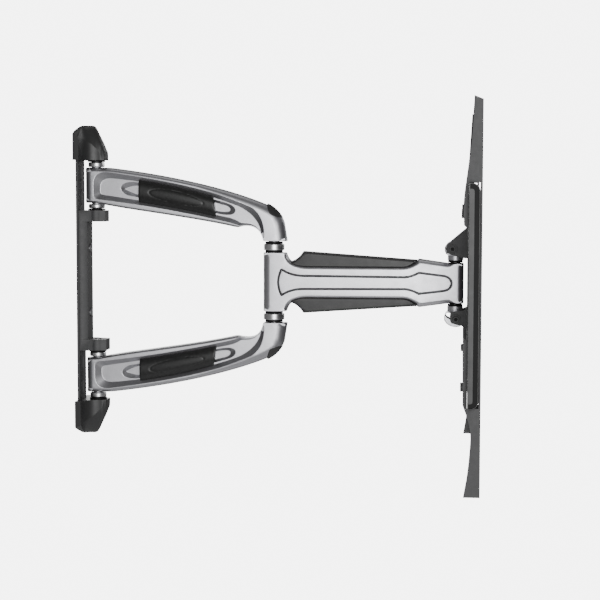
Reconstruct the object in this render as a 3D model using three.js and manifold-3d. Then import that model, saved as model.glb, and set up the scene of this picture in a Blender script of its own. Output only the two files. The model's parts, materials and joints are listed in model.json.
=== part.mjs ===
// Full motion television wall mount: two rear arms on a wall rail, one front arm, a swivel head and
// a tilting plate with two sliding television brackets. Millimetres. +X points away from the wall,
// +Y to the right of somebody who watches the television, +Z up. The origin lies on the wall face,
// halfway between the two rear arms.
import * as THREE from "three";
import { mergeVertices } from "three/addons/utils/BufferGeometryUtils.js";
import Module from "manifold-3d";

// Joint axes, seen from the side
const WALL_PIVOT_X = 22.5;
const ELBOW_X = 244;
const HEAD_X = 465.5;
const TILT_X = 479.5; // the tilt axis runs along Y at Z = 0, between the two tilt bolts
const GAP = 0.3; // air between pieces that rest on each other
const RUNNING = 0.1; // radial clearance of a pin in its bore
const ROUND = 24; // sides of a bore, rod or ring: one number, so that a pin never touches its bore
const SMALL_ROUND = 14; // sides of a screw

// Wall assembly
const RAIL_T = 3;
const RAIL_HALF_W = 16.6;
const RAIL_HALF_H = 176;
const RAIL_SLOT_Z = [-133, -103, 103, 133];
const EAR_INNER_Z = 73;
const EAR_OUTER_Z = 86.8;
const BRACKET_X = 13.5; // front face of the hinge bracket
const BRACKET_EDGE_X = 7; // where the sloping edges of that face begin
const BRACKET_FACE_HALF_W = 13;
const BRACKET_SCREW_Z = 40;
const NOSE_X = 35.5; // front of the hinge ears and of the end caps
const CAP_HALF_W = 32;
const CAP_Z = 148.5;
const CAP_TOP_Z = 191.5;
const CAP_WALL = 2;
const WALL_PIN_R = 6;
const BLOCK_TOP_Z = 166;
const BLOCK_HALF_W = 8.8;

// Rear arms
const ARM_HALF_T = 11;
const ROOT_R = 12.3;
const ROOT_LOW_Z = 95;
const ROOT_HIGH_Z = 139.7;
const BUSH_R = 10.1;
const ELBOW_R = 13;
const ARM_END_Z = 49.4;
const RECESS_FLOOR_Y = 7;
const PAD_LOW_X = 77;
const PAD_HIGH_X = 173;

// Elbow and front arm
const HUB_HALF_H = 36.2;
const ELBOW_PIN_R = 7;
const ELBOW_RING_R = 12.75;
const ELBOW_WASHER_R = 10.9;
const BARREL_R = 9.2;
const BARREL_HALF_H = 25;
const COVER_HALF_W = 10.4;
const COVER_WALL = 2;
const FRONT_ARM_HALF_T = 11.5;
const FRONT_ARM_END_HALF_T = 8.6;
const HUB_BORE_R = 9.1;
const BARREL_BORE_R = 6.6;

// Swivel head
const POST_R = 5;
const NECK_R = 9.5;
const KNUCKLE_LOW_Z = 28;
const KNUCKLE_HALF_W = 15;
const TILT_BOLT_R = 3;
const EAR_INNER_Y = 17;
const EAR_OUTER_Y = 20;
const UPPER_BOLT = [462, 42.1];
const LOWER_BOLT = [466.6, -42.3];
const TILT_DOWN = THREE.MathUtils.degToRad(12);
const TILT_UP = THREE.MathUtils.degToRad(5);

// Television plate and brackets
const PLATE_BACK_X = 480.7;
const PLATE_FRONT_X = 492.4;
const PLATE_T = 2.2;
const PLATE_HALF_W = 228;
const PLATE_HALF_H = 121;
const PLATE_ROUND = 9;
const PLATE_SLOT_Z = [-60, 0, 60];
const PLATE_LIP = 14;
const PLATE_CAP_Y = 232;
const FRAME_BACK_X = 480;
const FRAME_T = 3.2;
const FRAME_HALF_W = 70;
const FRAME_HALF_H = 100;
const WINDOW_HALF_W = 16.5;
const WINDOW_HALF_H = 62;
const TV_FACE_X = 495;
const SHEET_T = 2.4;
const TV_BRACKET_TOP_Z = 211;
const TV_BRACKET_LOW_Z = -219;
const TV_BRACKET_OUTER_Y = 217;
const TV_BRACKET_INNER_Y = 183;
const VESA_HALF = 200;
const LOCK_Y = 203;
const LOCK_UPPER_Z = 88;
const LOCK_LOWER_Z = -100;

const wasm = await Module();
wasm.setup();

// ---------- materials ----------

function finish(color, roughness, metalness) {
  return new THREE.MeshStandardMaterial({ color, roughness, metalness });
}
const silverPaint = finish(0xbfc1c3, 0.42, 0.55);
const blackPaint = finish(0x4a4b4d, 0.5, 0.2);
const blackPlastic = finish(0x2c2c2e, 0.55, 0);
const softPad = finish(0x29292a, 0.6, 0);
const chrome = finish(0xe8e8ea, 0.12, 1);
const nylon = finish(0x141415, 0.45, 0);
const steel = finish(0x9a9b9d, 0.35, 0.9);

// ---------- solids ----------

function toSolid(geometry) {
  const flat = geometry.index ? geometry.toNonIndexed() : geometry;
  const bare = new THREE.BufferGeometry();
  bare.setAttribute("position", flat.getAttribute("position"));
  const merged = mergeVertices(bare, 1e-4);
  return new wasm.Manifold(
    new wasm.Mesh({
      numProp: 3,
      vertProperties: merged.attributes.position.array,
      triVerts: new Uint32Array(merged.index.array),
    }),
  );
}

function toGeometry(solid) {
  const mesh = solid.getMesh();
  const geometry = new THREE.BufferGeometry();
  geometry.setAttribute("position", new THREE.BufferAttribute(mesh.vertProperties, 3));
  geometry.setIndex(new THREE.BufferAttribute(mesh.triVerts, 1));
  geometry.computeVertexNormals();
  return geometry;
}

function join(...geometries) {
  return toGeometry(geometries.map(toSolid).reduce((a, b) => a.add(b)));
}

function cut(body, ...tools) {
  return toGeometry(tools.map(toSolid).reduce((a, b) => a.subtract(b), toSolid(body)));
}

function common(...geometries) {
  return toGeometry(geometries.map(toSolid).reduce((a, b) => a.intersect(b)));
}

// Extrudes an outline by depth with an edge round that stays inside the outline.
function extrude(shape, depth, round, curveSegments) {
  return new THREE.ExtrudeGeometry(shape, {
    depth: depth - 2 * round,
    bevelEnabled: round > 0,
    bevelThickness: round,
    bevelSize: round,
    bevelOffset: -round,
    bevelSegments: 1,
    curveSegments,
  }).translate(0, 0, round);
}

// An outline drawn in X and Z, extruded along Y.
function sideSlab(shape, lowY, highY, round = 0, curveSegments = 8) {
  return extrude(shape, highY - lowY, round, curveSegments)
    .rotateX(Math.PI / 2)
    .translate(0, highY, 0);
}

// An outline drawn in X and Y, extruded along Z.
function planSlab(shape, lowZ, highZ, round = 0, curveSegments = 8) {
  return extrude(shape, highZ - lowZ, round, curveSegments).translate(0, 0, lowZ);
}

// An outline drawn in Y and Z, extruded along X.
function frontSlab(shape, lowX, highX, round = 0, curveSegments = 8) {
  const turn = new THREE.Matrix4().makeBasis(
    new THREE.Vector3(0, 1, 0),
    new THREE.Vector3(0, 0, 1),
    new THREE.Vector3(1, 0, 0),
  );
  return extrude(shape, highX - lowX, round, curveSegments)
    .applyMatrix4(turn)
    .translate(lowX, 0, 0);
}

function box(low, high) {
  const size = high.map((value, i) => value - low[i]);
  const middle = high.map((value, i) => (value + low[i]) / 2);
  return new THREE.BoxGeometry(...size).translate(...middle);
}

function polygon(points) {
  return new THREE.Shape(points.map(([a, b]) => new THREE.Vector2(a, b)));
}

function rectangle(lowA, lowB, highA, highB, radius) {
  const shape = new THREE.Shape();
  shape.moveTo(lowA + radius, lowB);
  shape.lineTo(highA - radius, lowB);
  shape.absarc(highA - radius, lowB + radius, radius, -Math.PI / 2, 0, false);
  shape.absarc(highA - radius, highB - radius, radius, 0, Math.PI / 2, false);
  shape.absarc(lowA + radius, highB - radius, radius, Math.PI / 2, Math.PI, false);
  shape.absarc(lowA + radius, lowB + radius, radius, Math.PI, Math.PI * 1.5, false);
  return shape;
}

// A turned piece about the vertical line through (x, 0), from its radius and height pairs.
function turned(x, pairs, segments = ROUND) {
  const profile = pairs.map(([radius, height]) => new THREE.Vector2(radius, height));
  return new THREE.LatheGeometry(profile, segments).rotateX(Math.PI / 2).translate(x, 0, 0);
}

function rod(x, radius, lowZ, highZ, segments = ROUND) {
  return turned(x, [[0, lowZ], [radius, lowZ], [radius, highZ], [0, highZ]], segments);
}

function ring(x, innerR, outerR, lowZ, highZ, segments = ROUND) {
  const pairs = [[innerR, lowZ], [outerR, lowZ], [outerR, highZ], [innerR, highZ], [innerR, lowZ]];
  return turned(x, pairs, segments);
}

// A rod along Y through (x, z).
function crossRod(x, z, radius, lowY, highY, segments = SMALL_ROUND) {
  const middleY = (lowY + highY) / 2;
  return new THREE.CylinderGeometry(radius, radius, highY - lowY, segments).translate(x, middleY, z);
}

// A rod along X through (y, z).
function axialRod(y, z, radius, lowX, highX, segments = SMALL_ROUND) {
  return new THREE.CylinderGeometry(radius, radius, highX - lowX, segments)
    .rotateZ(-Math.PI / 2)
    .translate((lowX + highX) / 2, y, z);
}

// ---------- wall assembly ----------

// Half plan of a body that sweeps in from its full width to a narrow nose, mirrored about Y = 0.
function nosePlan(backX, shoulderX, halfW, noseX, inset) {
  const noseHalfW = 10 - inset;
  const waistHalfW = 12 - inset;
  const waistX = 30;
  const w = halfW - inset;
  const shape = new THREE.Shape();
  shape.moveTo(backX, -w);
  shape.lineTo(shoulderX - inset, -w);
  shape.quadraticCurveTo(shoulderX + 2 - inset, -waistHalfW, waistX, -waistHalfW);
  shape.lineTo(noseX - inset, -noseHalfW);
  shape.lineTo(noseX - inset, noseHalfW);
  shape.lineTo(waistX, waistHalfW);
  shape.quadraticCurveTo(shoulderX + 2 - inset, waistHalfW, shoulderX - inset, w);
  shape.lineTo(backX, w);
  shape.closePath();
  return shape;
}

function wallRail() {
  const outline = rectangle(-RAIL_HALF_W, -RAIL_HALF_H, RAIL_HALF_W, RAIL_HALF_H, 4);
  const plate = frontSlab(outline, 0, RAIL_T, 0, 2);
  const slots = RAIL_SLOT_Z.map((z) =>
    frontSlab(rectangle(-4.5, z - 10, 4.5, z + 10, 4.4), -1, RAIL_T + 1, 0, 3),
  );
  return cut(plate, ...slots);
}

function hingeBracket() {
  const side = polygon([
    [RAIL_T + GAP, -EAR_OUTER_Z],
    [NOSE_X, -EAR_OUTER_Z],
    [NOSE_X, -EAR_INNER_Z],
    [BRACKET_X, -EAR_INNER_Z],
    [BRACKET_X, EAR_INNER_Z],
    [NOSE_X, EAR_INNER_Z],
    [NOSE_X, EAR_OUTER_Z],
    [RAIL_T + GAP, EAR_OUTER_Z],
  ]);
  const blank = common(
    sideSlab(side, -RAIL_HALF_W, RAIL_HALF_W),
    planSlab(nosePlan(RAIL_T, 19.6, RAIL_HALF_W, NOSE_X, 0), -EAR_OUTER_Z, EAR_OUTER_Z),
  );
  const slopes = [-1, 1].map((side) =>
    planSlab(
      polygon([
        [BRACKET_EDGE_X, side * RAIL_HALF_W],
        [BRACKET_X, side * BRACKET_FACE_HALF_W],
        [BRACKET_X + 1, side * BRACKET_FACE_HALF_W],
        [BRACKET_X + 1, side * (RAIL_HALF_W + 1)],
        [BRACKET_EDGE_X, side * (RAIL_HALF_W + 1)],
      ]),
      -EAR_INNER_Z,
      EAR_INNER_Z,
    ),
  );
  const backPocket = box([0, -12.5, -64], [BRACKET_X - 4.5, 12.5, 64]);
  const bores = [-1, 1].map((end) =>
    rod(WALL_PIVOT_X, WALL_PIN_R + RUNNING, end * 80 - 10, end * 80 + 10),
  );
  const screws = [-BRACKET_SCREW_Z, BRACKET_SCREW_Z];
  const screwHoles = screws.map((z) => axialRod(0, z, 2.8, RAIL_T, BRACKET_X + 1));
  const headSeats = screws.map((z) => axialRod(0, z, 5.6, BRACKET_X - 2.5, BRACKET_X + 1));
  return cut(blank, ...slopes, backPocket, ...bores, ...screwHoles, ...headSeats);
}

function bracketScrew(z) {
  const shank = axialRod(0, z, 2.5, RAIL_T + 1, BRACKET_X - 1);
  const head = axialRod(0, z, 5.2, BRACKET_X - 2.2, BRACKET_X + 1.6);
  return join(shank, head);
}

function pivotBlock() {
  const side = polygon([
    [RAIL_T + GAP, CAP_Z + 0.1],
    [31, CAP_Z + 0.1],
    [31, 157],
    [26, BLOCK_TOP_Z],
    [RAIL_T + GAP, BLOCK_TOP_Z],
  ]);
  const body = sideSlab(side, -BLOCK_HALF_W, BLOCK_HALF_W);
  return cut(body, rod(WALL_PIVOT_X, WALL_PIN_R + RUNNING, CAP_Z - 1, BLOCK_TOP_Z + 1));
}

// Crowned roof of the end cap: the roof line seen from the side and the crown seen from the front.
function capVolume(inset) {
  const roof = polygon([
    [-1, CAP_Z - 2],
    [NOSE_X - inset, CAP_Z - 2],
    [NOSE_X - inset, 157 - inset],
    [22.5 - inset * 0.6, CAP_TOP_Z - inset],
    [4, CAP_TOP_Z - inset],
    [-1, 183 - inset],
  ]);
  const crown = new THREE.Shape();
  const low = CAP_Z - (inset > 0 ? 1 : 0);
  crown.moveTo(-CAP_HALF_W, low);
  crown.lineTo(CAP_HALF_W, low);
  crown.lineTo(CAP_HALF_W, 175 - inset);
  crown.quadraticCurveTo(20, CAP_TOP_Z - inset, 0, CAP_TOP_Z - inset);
  crown.quadraticCurveTo(-20, CAP_TOP_Z - inset, -CAP_HALF_W, 175 - inset);
  crown.closePath();
  return common(
    planSlab(nosePlan(-1, 7.7, CAP_HALF_W, NOSE_X, inset), CAP_Z - 2, CAP_TOP_Z),
    sideSlab(roof, -CAP_HALF_W - 1, CAP_HALF_W + 1),
    frontSlab(crown, inset > 0 ? -1 : 0, NOSE_X + 1),
  );
}

function endCap() {
  return cut(capVolume(0), capVolume(CAP_WALL));
}

function wallPin() {
  const low = EAR_INNER_Z + 0.8;
  const high = BLOCK_TOP_Z - 2;
  const chamfer = 1;
  return turned(WALL_PIVOT_X, [
    [0, low],
    [WALL_PIN_R - chamfer, low],
    [WALL_PIN_R, low + chamfer],
    [WALL_PIN_R, high - chamfer],
    [WALL_PIN_R - chamfer, high],
    [0, high],
  ]);
}

// ---------- rear arms ----------

function rearArmOutline() {
  const shape = new THREE.Shape();
  shape.moveTo(15.5, 96.5);
  shape.lineTo(36, 90.5);
  shape.bezierCurveTo(90, 86, 140, 77.5, 198.5, 66);
  shape.quadraticCurveTo(205, 68, 212, 68.3);
  shape.quadraticCurveTo(230, 68, 231.5, ARM_END_Z);
  shape.lineTo(261, ARM_END_Z);
  shape.lineTo(257.5, 72);
  shape.quadraticCurveTo(254, 86, 234, 94.5);
  shape.bezierCurveTo(180, 112, 100, 131, 36, 139.3);
  shape.lineTo(15.5, 138);
  shape.closePath();
  return shape;
}

function rearRecessOutline() {
  const shape = new THREE.Shape();
  shape.moveTo(22, 104);
  shape.quadraticCurveTo(22.5, 100.5, 27, 100);
  shape.bezierCurveTo(80, 93.5, 140, 86, 190, 75.5);
  shape.quadraticCurveTo(198, 78, 196, 88);
  shape.quadraticCurveTo(193, 94, 186, 98.5);
  shape.bezierCurveTo(140, 112, 90, 123, 34, 131);
  shape.quadraticCurveTo(22, 131, 22, 118);
  shape.closePath();
  return shape;
}

function padOutline() {
  const shape = new THREE.Shape();
  shape.moveTo(PAD_LOW_X, 95.5);
  shape.quadraticCurveTo(126, 89, PAD_HIGH_X, 79.5);
  shape.lineTo(PAD_HIGH_X - 3, 101.5);
  shape.quadraticCurveTo(124, 113.5, PAD_LOW_X, 122.5);
  shape.closePath();
  return shape;
}

function rearArm() {
  const body = sideSlab(rearArmOutline(), -ARM_HALF_T, ARM_HALF_T, 2.5, 5);
  const root = rod(WALL_PIVOT_X, ROOT_R, ROOT_LOW_Z, ROOT_HIGH_Z);
  const elbow = rod(ELBOW_X, ELBOW_R, ARM_END_Z, 66);
  const recesses = [
    sideSlab(rearRecessOutline(), -ARM_HALF_T - 3, -RECESS_FLOOR_Y, 0, 4),
    sideSlab(rearRecessOutline(), RECESS_FLOOR_Y, ARM_HALF_T + 3, 0, 4),
  ];
  const bushRoom = rod(WALL_PIVOT_X, ROOT_R + RUNNING, 80, ROOT_LOW_Z);
  const wallBore = rod(WALL_PIVOT_X, WALL_PIN_R + RUNNING, 80, 150);
  const elbowBore = rod(ELBOW_X, ELBOW_PIN_R + RUNNING, 40, 74.5);
  const plugSeat = plugVolume(0.3);
  return cut(join(body, root, elbow), ...recesses, bushRoom, wallBore, elbowBore, plugSeat);
}

// The oval plug closes the top of the elbow bore on the sloping shoulder of the arm.
function plugVolume(grow) {
  const shape = new THREE.Shape();
  shape.absellipse(0, 0, 12.5 + grow, 7 + grow, 0, Math.PI * 2, false, 0);
  const low = -4 - grow;
  return planSlab(shape, low, 2.2, 0, 6)
    .rotateY(THREE.MathUtils.degToRad(46))
    .translate(246.2, 0, 85.2);
}

function elbowPlug() {
  return plugVolume(0);
}

function armBush(low, high) {
  return ring(WALL_PIVOT_X, WALL_PIN_R + RUNNING, BUSH_R, low, high);
}

function armPad(side) {
  const face = ARM_HALF_T + 1.2;
  const back = RECESS_FLOOR_Y + GAP;
  return side < 0
    ? sideSlab(padOutline(), -face, -back, 0.8, 4)
    : sideSlab(padOutline(), back, face, 0.8, 4);
}

function elbowPin() {
  const end = 73.5;
  const chamfer = 1;
  return turned(ELBOW_X, [
    [0, -end],
    [ELBOW_PIN_R - chamfer, -end],
    [ELBOW_PIN_R, -end + chamfer],
    [ELBOW_PIN_R, end - chamfer],
    [ELBOW_PIN_R - chamfer, end],
    [0, end],
  ]);
}

// ---------- front arm ----------

// Upper half of the silver arm seen from the side; grow lifts the edge to leave room for a cover.
function frontArmEdge(shape, sign, grow, forwards) {
  const z = (value) => sign * (value + grow);
  if (forwards) {
    shape.lineTo(255, z(HUB_HALF_H));
    shape.quadraticCurveTo(258, z(22), 275, z(19.3));
    shape.lineTo(404, z(19));
    shape.quadraticCurveTo(414, z(19.5), 421, z(29.8));
    shape.lineTo(457, z(24.8));
  } else {
    shape.lineTo(457, z(24.8));
    shape.lineTo(421, z(29.8));
    shape.quadraticCurveTo(414, z(19.5), 404, z(19));
    shape.lineTo(275, z(19.3));
    shape.quadraticCurveTo(258, z(22), 255, z(HUB_HALF_H));
  }
}

function frontArmOutline(grow) {
  const shape = new THREE.Shape();
  shape.moveTo(ELBOW_X, -HUB_HALF_H - grow);
  frontArmEdge(shape, -1, grow, true);
  shape.lineTo(463, -24.8);
  shape.lineTo(463, 24.8);
  frontArmEdge(shape, 1, grow, false);
  shape.lineTo(ELBOW_X, HUB_HALF_H + grow);
  shape.closePath();
  return shape;
}

function frontArm() {
  const plan = polygon([
    [ELBOW_X, -FRONT_ARM_HALF_T],
    [400, -FRONT_ARM_HALF_T],
    [466, -FRONT_ARM_END_HALF_T],
    [466, FRONT_ARM_END_HALF_T],
    [400, FRONT_ARM_HALF_T],
    [ELBOW_X, FRONT_ARM_HALF_T],
  ]);
  const body = common(
    sideSlab(frontArmOutline(0), -FRONT_ARM_HALF_T, FRONT_ARM_HALF_T, 2, 5),
    planSlab(plan, -40, 40),
  );
  const hub = rod(ELBOW_X, ELBOW_R, -HUB_HALF_H, HUB_HALF_H);
  const barrel = rod(HEAD_X, BARREL_R, -BARREL_HALF_H, BARREL_HALF_H);
  const hubBore = rod(ELBOW_X, HUB_BORE_R, -50, 50);
  const barrelBore = rod(HEAD_X, BARREL_BORE_R, -40, 40);
  return cut(join(body, hub, barrel), hubBore, barrelBore);
}

function cableCover() {
  const top = new THREE.Shape();
  top.moveTo(264.5, 16);
  top.lineTo(264.5, 25.4);
  top.quadraticCurveTo(274.5, 28, 280.4, 38.4);
  top.lineTo(420.3, 30);
  top.lineTo(420.3, 16);
  top.closePath();
  const hollow = polygon([[272, 10], [278, 27], [283, 35.8], [414, 28.2], [414, 10]]);
  const armRoom = sideSlab(frontArmOutline(0.5), -20, 20);
  const outer = sideSlab(top, -COVER_HALF_W, COVER_HALF_W, 1.5);
  const inner = sideSlab(hollow, -COVER_HALF_W + COVER_WALL, COVER_HALF_W - COVER_WALL);
  const body = toSolid(outer).subtract(toSolid(inner)).subtract(toSolid(armRoom));
  return toGeometry(body.decompose().sort((a, b) => b.volume() - a.volume())[0]);
}

// ---------- swivel head ----------

// A slot along the path that a tilt bolt takes about the tilt axis.
function tiltSlot([x, z], halfHeight) {
  const radius = Math.hypot(x - TILT_X, z);
  const rest = Math.atan2(z, x - TILT_X);
  const spare = 0.02;
  const from = rest - TILT_DOWN - spare;
  const to = rest + TILT_UP + spare;
  const point = (angle) => [TILT_X + radius * Math.cos(angle), radius * Math.sin(angle)];
  const [ax, az] = point(from);
  const [bx, bz] = point(to);
  const shape = new THREE.Shape();
  shape.absarc(TILT_X, 0, radius + halfHeight, from, to, false);
  shape.absarc(bx, bz, halfHeight, to, to + Math.PI, false);
  shape.absarc(TILT_X, 0, radius - halfHeight, to, from, true);
  shape.absarc(ax, az, halfHeight, from + Math.PI, from + Math.PI * 2, false);
  return sideSlab(shape, -KNUCKLE_HALF_W - 1, KNUCKLE_HALF_W + 1, 0, 4);
}

function knuckle(sign, bolt) {
  const outline = new THREE.Shape();
  outline.moveTo(457, sign * 34);
  outline.lineTo(474, sign * 34);
  outline.quadraticCurveTo(476.5, sign * 34, 476.5, sign * 38);
  outline.lineTo(476.5, sign * 46);
  outline.quadraticCurveTo(474, sign * 52.5, 466, sign * 52.5);
  outline.quadraticCurveTo(456, sign * 52, 452.5, sign * 44);
  outline.quadraticCurveTo(451.5, sign * 36, 457, sign * 34);
  outline.closePath();
  const block = sideSlab(outline, -KNUCKLE_HALF_W, KNUCKLE_HALF_W, 1, 3);
  const neckLow = Math.min(sign * KNUCKLE_LOW_Z, sign * 36);
  const neckHigh = Math.max(sign * KNUCKLE_LOW_Z, sign * 36);
  const neck = rod(HEAD_X, NECK_R, neckLow, neckHigh);
  const socket = rod(HEAD_X, POST_R + RUNNING, -35.2, 35.2);
  return cut(join(block, neck), socket, tiltSlot(bolt, TILT_BOLT_R + 0.25));
}

function headPost() {
  return rod(HEAD_X, POST_R, -34.8, 34.8);
}

// ---------- tilting plate ----------

function tiltEar(points, bolt) {
  const ear = polygon(points);
  ear.holes.push(new THREE.Path().absarc(bolt[0], bolt[1], TILT_BOLT_R + 0.15, 0, Math.PI * 2, true));
  return [
    sideSlab(ear, -EAR_OUTER_Y, -EAR_INNER_Y, 0, 10),
    sideSlab(ear, EAR_INNER_Y, EAR_OUTER_Y, 0, 10),
  ];
}

function tiltFrame() {
  const outer = frontSlab(
    rectangle(-FRAME_HALF_W, -FRAME_HALF_H, FRAME_HALF_W, FRAME_HALF_H, 12),
    FRAME_BACK_X,
    PLATE_FRONT_X - PLATE_T - GAP,
    0,
    4,
  );
  const pocket = box(
    [FRAME_BACK_X + FRAME_T, -FRAME_HALF_W + FRAME_T, -FRAME_HALF_H + FRAME_T],
    [TV_FACE_X, FRAME_HALF_W - FRAME_T, FRAME_HALF_H - FRAME_T],
  );
  const rearWindow = frontSlab(
    rectangle(-WINDOW_HALF_W, -WINDOW_HALF_H, WINDOW_HALF_W, WINDOW_HALF_H, 4),
    470,
    500,
    0,
    3,
  );
  const upperEars = tiltEar(
    [
      [481, 31],
      [481, 69],
      [466.6, 57],
      [456, 47.8],
      [453.4, 42.4],
      [455, 37],
      [460.2, 35.2],
      [474.3, 31.3],
    ],
    UPPER_BOLT,
  );
  const lowerEars = tiltEar(
    [
      [481, -29],
      [475.7, -31.6],
      [460.4, -33.6],
      [459, -41],
      [461, -47.2],
      [470.5, -49.5],
      [481, -52.8],
    ],
    LOWER_BOLT,
  );
  return join(cut(outer, pocket, rearWindow), ...upperEars, ...lowerEars);
}

// Section of the plate: a tray that opens towards the wall, with rounded front corners and lips.
function plateSection(inset, backX) {
  const h = PLATE_HALF_H - inset;
  const front = PLATE_FRONT_X - inset;
  const radius = PLATE_ROUND - inset;
  const shape = new THREE.Shape();
  shape.moveTo(backX, -h);
  shape.lineTo(front - radius, -h);
  shape.absarc(front - radius, -h + radius, radius, -Math.PI / 2, 0, false);
  shape.absarc(front - radius, h - radius, radius, 0, Math.PI / 2, false);
  shape.lineTo(backX, h);
  shape.closePath();
  return shape;
}

function centrePlate() {
  const outer = sideSlab(plateSection(0, PLATE_BACK_X), -PLATE_HALF_W, PLATE_HALF_W, 0, 5);
  const inner = sideSlab(
    plateSection(PLATE_T, PLATE_BACK_X + PLATE_T),
    -PLATE_HALF_W - 1,
    PLATE_HALF_W + 1,
    0,
    5,
  );
  const mouth = box(
    [PLATE_BACK_X - 1, -PLATE_HALF_W - 1, -PLATE_HALF_H + PLATE_LIP],
    [PLATE_BACK_X + PLATE_T + 1, PLATE_HALF_W + 1, PLATE_HALF_H - PLATE_LIP],
  );
  const slots = [-1, 1].flatMap((side) =>
    PLATE_SLOT_Z.map((z) => {
      const shape = rectangle(side * 125 - 45, z - 7, side * 125 + 45, z + 7, 6.9);
      return frontSlab(shape, 485, 500, 0, 2);
    }),
  );
  return cut(outer, inner, mouth, ...slots);
}

function plateEndCap(side) {
  const low = Math.min(side * (PLATE_HALF_W + GAP), side * PLATE_CAP_Y);
  const high = Math.max(side * (PLATE_HALF_W + GAP), side * PLATE_CAP_Y);
  const face = sideSlab(plateSection(0, PLATE_BACK_X - 0.4), low, high, 0, 5);
  const plug = box(
    [484, Math.min(side * 224, side * 229), -100],
    [489, Math.max(side * 224, side * 229), 100],
  );
  return join(face, plug);
}

// A bolt along Y with a flanged head at its low end.
function tiltBolt([x, z]) {
  const shank = crossRod(x, z, TILT_BOLT_R, -EAR_OUTER_Y - 0.5, EAR_OUTER_Y + 5.5);
  const flange = crossRod(x, z, 6, -EAR_OUTER_Y - 1.7, -EAR_OUTER_Y - GAP);
  const head = crossRod(x, z, 4, -EAR_OUTER_Y - 4.6, -EAR_OUTER_Y - 1);
  const socket = crossRod(x, z, 2.1, -EAR_OUTER_Y - 6, -EAR_OUTER_Y - 2.2, 6);
  return cut(join(shank, flange, head), socket);
}

function tiltNut([x, z]) {
  const body = crossRod(x, z, 5.6, EAR_OUTER_Y + GAP, EAR_OUTER_Y + 5, 6);
  return cut(body, crossRod(x, z, TILT_BOLT_R + 0.15, EAR_OUTER_Y - 1, EAR_OUTER_Y + 8));
}

// ---------- television brackets, drawn on the left and mirrored to the right ----------

function bracketSide() {
  const shape = new THREE.Shape();
  const hook = PLATE_BACK_X - 0.5;
  const notch = PLATE_HALF_H + 0.5;
  shape.moveTo(TV_FACE_X, TV_BRACKET_TOP_Z - 1);
  shape.lineTo(485.2, TV_BRACKET_TOP_Z + 3);
  shape.bezierCurveTo(484.5, 190, 483, 165, 480.5, 145);
  shape.bezierCurveTo(478.5, 128, 474.7, 105, 474.7, 92);
  shape.lineTo(475.2, 76);
  shape.lineTo(478, 73);
  shape.lineTo(hook, 73);
  shape.lineTo(hook, notch);
  shape.lineTo(TV_FACE_X - 1, notch);
  shape.lineTo(TV_FACE_X - 1, -notch);
  shape.lineTo(hook, -notch);
  shape.lineTo(hook, -47);
  shape.lineTo(477, -47);
  shape.lineTo(474.8, -54);
  shape.lineTo(475.5, -118);
  shape.quadraticCurveTo(484.5, -140, 484.3, -155);
  shape.bezierCurveTo(483.5, -175, 481, -200, 476.9, TV_BRACKET_LOW_Z);
  shape.lineTo(TV_FACE_X, TV_BRACKET_LOW_Z);
  shape.closePath();
  return shape;
}

function bracketWeb() {
  const low = -TV_BRACKET_OUTER_Y;
  const high = -TV_BRACKET_INNER_Y;
  const web = frontSlab(
    rectangle(low, TV_BRACKET_LOW_Z, high, TV_BRACKET_TOP_Z - 1, 2),
    TV_FACE_X - 2.2,
    TV_FACE_X,
    0,
    2,
  );
  const slotRows = [
    [130, 158],
    [166, 204],
    [-158, -130],
    [-204, -166],
  ];
  const slots = slotRows.map(([from, to]) =>
    frontSlab(rectangle(-VESA_HALF - 3.4, from, -VESA_HALF + 3.4, to, 3.3), 490, 500, 0, 2),
  );
  return cut(web, ...slots);
}

function tvBracket() {
  const side = sideSlab(bracketSide(), -TV_BRACKET_OUTER_Y, -TV_BRACKET_OUTER_Y + SHEET_T, 0, 6);
  const innerY = -TV_BRACKET_INNER_Y;
  const returns = [
    box([488, innerY - SHEET_T, 121.8], [TV_FACE_X - 1, innerY, TV_BRACKET_TOP_Z - 3]),
    box([488, innerY - SHEET_T, TV_BRACKET_LOW_Z + 2], [TV_FACE_X - 1, innerY, -121.8]),
  ];
  const tabs = [
    box([477.4, -TV_BRACKET_OUTER_Y + 1, 74], [PLATE_BACK_X - 0.5, -192, 112]),
    box([477.4, -TV_BRACKET_OUTER_Y + 1, -112], [PLATE_BACK_X - 0.5, -192, -50]),
  ];
  const holes = [LOCK_UPPER_Z, LOCK_LOWER_Z].map((z) => axialRod(-LOCK_Y, z, 2.8, 470, 485));
  return cut(join(bracketWeb(), side, ...returns, ...tabs), ...holes);
}

function lockScrew(z) {
  const shank = axialRod(-LOCK_Y, z, 2.5, 474, PLATE_BACK_X - 0.4);
  const head = axialRod(-LOCK_Y, z, 5, 472.6, 477.1);
  return join(shank, head);
}

// ---------- assembly ----------

const mount = new THREE.Group();

function place(name, geometry, material, mirror = [1, 1, 1]) {
  const mesh = new THREE.Mesh(geometry, material);
  mesh.name = name;
  mesh.scale.set(...mirror);
  mount.add(mesh);
}

const levels = [
  ["upper", [1, 1, 1]],
  ["lower", [1, 1, -1]],
];
const sides = [
  ["left", -1, [1, 1, 1]],
  ["right", 1, [1, -1, 1]],
];

place("wall_rail", wallRail(), blackPaint);
place("hinge_bracket", hingeBracket(), blackPaint);
place("hinge_screw_upper", bracketScrew(BRACKET_SCREW_Z), steel);
place("hinge_screw_lower", bracketScrew(-BRACKET_SCREW_Z), steel);

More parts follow.
